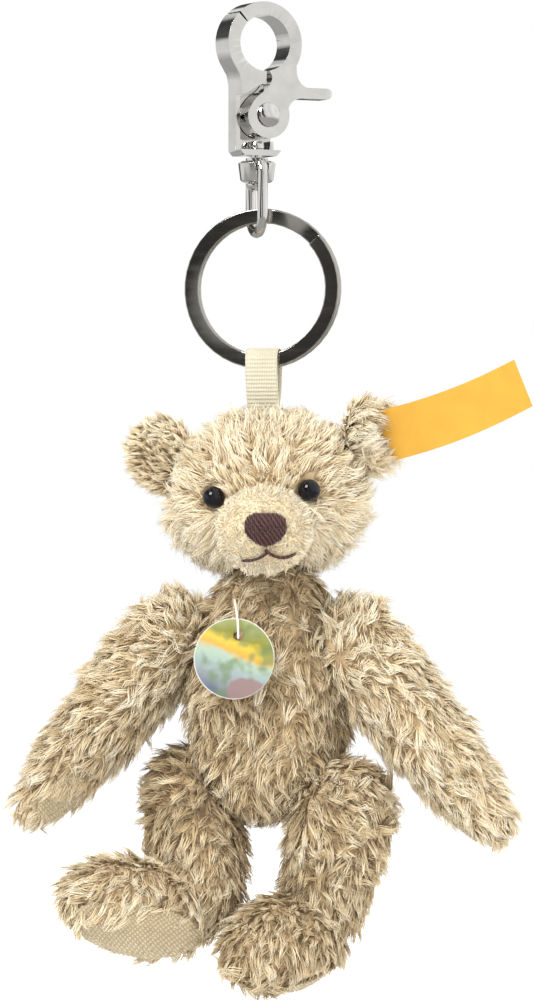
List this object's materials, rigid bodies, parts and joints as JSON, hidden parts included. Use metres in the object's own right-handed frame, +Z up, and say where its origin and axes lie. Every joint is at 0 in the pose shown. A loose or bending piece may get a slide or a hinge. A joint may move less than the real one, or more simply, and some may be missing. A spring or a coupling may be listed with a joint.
{
  "type": "plush keychain",
  "caption": "Small jointed mohair bear hung by a woven loop from a split ring, with a swivel snap hook, an ear tape and a round chest tag.",
  "frame": {"origin": "middle of the snap hook's eye", "axes": "+Z up along the hang, the bear faces -Y and +X is to the viewer's right"},
  "size_m": [0.1019, 0.0433, 0.1972],
  "materials": {
    "steel": "polished nickel plating",
    "ring_steel": "polished plating",
    "ribbon": "ribbed weave",
    "plush": "wavy pile",
    "short_plush": "short pile",
    "filling": "loose fibre",
    "card": "matt",
    "bead": "polished",
    "thread": "satin stitch",
    "white_thread": "twisted",
    "tape": "fine weave",
    "print": "coated print"
  },
  "bodies": {
    "hook": {"hook_frame": "steel", "pivot_rivet": "steel", "lever_spring": "steel"},
    "lever": {"trigger_lever": "steel"},
    "swivel": {"swivel_post": "steel", "swivel_collar": "steel", "swivel_link": "steel"},
    "ring": {"split_ring": "ring_steel"},
    "ribbon": {"ribbon_loop": "ribbon"},
    "head": {"ribbon_tab": "ribbon", "head_cover": "plush", "head_stuffing": "filling", "muzzle_cover": "short_plush", "nose_stitching": "thread", "mouth_stitching": "thread", "eye_left": "bead", "eye_right": "bead", "ear_left": "plush", "ear_right": "plush", "ear_tag": "tape", "neck_head_disc": "card"},
    "torso": {"torso_cover": "plush", "torso_stuffing": "filling", "neck_torso_disc": "card", "neck_pin": "steel", "shoulder_left_torso_disc": "card", "shoulder_left_pin": "steel", "shoulder_right_torso_disc": "card", "shoulder_right_pin": "steel", "hip_left_torso_disc": "card", "hip_left_pin": "steel", "hip_right_torso_disc": "card", "hip_right_pin": "steel"},
    "arm_left": {"arm_left_cover": "plush", "arm_left_stuffing": "filling", "paw_pad_left": "short_plush", "shoulder_left_limb_disc": "card"},
    "arm_right": {"arm_right_cover": "plush", "arm_right_stuffing": "filling", "paw_pad_right": "short_plush", "shoulder_right_limb_disc": "card"},
    "leg_left": {"leg_left_cover": "plush", "leg_left_stuffing": "filling", "foot_pad_left": "short_plush", "hip_left_limb_disc": "card"},
    "leg_right": {"leg_right_cover": "plush", "leg_right_stuffing": "filling", "foot_pad_right": "short_plush", "hip_right_limb_disc": "card"},
    "tag": {"round_tag": "print", "tag_thread": "white_thread"}
  },
  "joints": [
    {"name": "lever_hinge", "type": "hinge", "parent": "hook", "child": "lever", "pos_m": [0.00071, 0.00038, -0.0143], "axis": [-0.4695, 0.8829, 0], "range_deg": [0, 24], "stiffness_Nm_per_rad": 0.02, "springref_deg": -20.05},
    {"name": "swivel_turn", "type": "hinge", "parent": "hook", "child": "swivel", "pos_m": [-0.0004, -0.00021, -0.0225], "axis": [0, 0, 1], "continuous": true},
    {"name": "ring_swing", "type": "hinge", "parent": "swivel", "child": "ring", "pos_m": [-0.0004, -0.0002, -0.03495], "axis": [0.9659, -0.2588, 0], "range_deg": [-40, 16]},
    {"name": "ribbon_slide", "type": "hinge", "parent": "ring", "child": "ribbon", "pos_m": [0.0008, -0.0005, -0.049], "axis": [-0.2588, -0.9659, 0], "range_deg": [-60, 60]},
    {"name": "head_flex", "type": "hinge", "parent": "ribbon", "child": "head", "pos_m": [0.001, -0.0005, -0.07525], "axis": [0.9659, -0.2588, 0], "range_deg": [-30, 30]},
    {"name": "neck_turn", "type": "hinge", "parent": "head", "child": "torso", "pos_m": [0.0018, 0.0005, -0.10335], "axis": [0, 0, 1], "continuous": true},
    {"name": "shoulder_left", "type": "hinge", "parent": "torso", "child": "arm_left", "pos_m": [-0.01144, 0.00103, -0.12074], "axis": [-0.8986, 0.3271, 0.2924], "range_deg": [-40, 95]},
    {"name": "shoulder_right", "type": "hinge", "parent": "torso", "child": "arm_right", "pos_m": [0.01524, -0.00313, -0.12122], "axis": [-0.8986, 0.3271, -0.2924], "range_deg": [-40, 95]},
    {"name": "hip_left", "type": "hinge", "parent": "torso", "child": "leg_left", "pos_m": [-0.00825, 0.0032, -0.14736], "axis": [0.8138, -0.2962, 0.5], "range_deg": [-40, 15]},
    {"name": "hip_right", "type": "hinge", "parent": "torso", "child": "leg_right", "pos_m": [0.0112, -0.00349, -0.14864], "axis": [0.8138, -0.2962, -0.5], "range_deg": [-80, 15]},
    {"name": "tag_swing", "type": "hinge", "parent": "torso", "child": "tag", "pos_m": [-0.0047, -0.0133, -0.1108], "axis": [-1, 0, 0], "range_deg": [0, 80]}
  ]
}
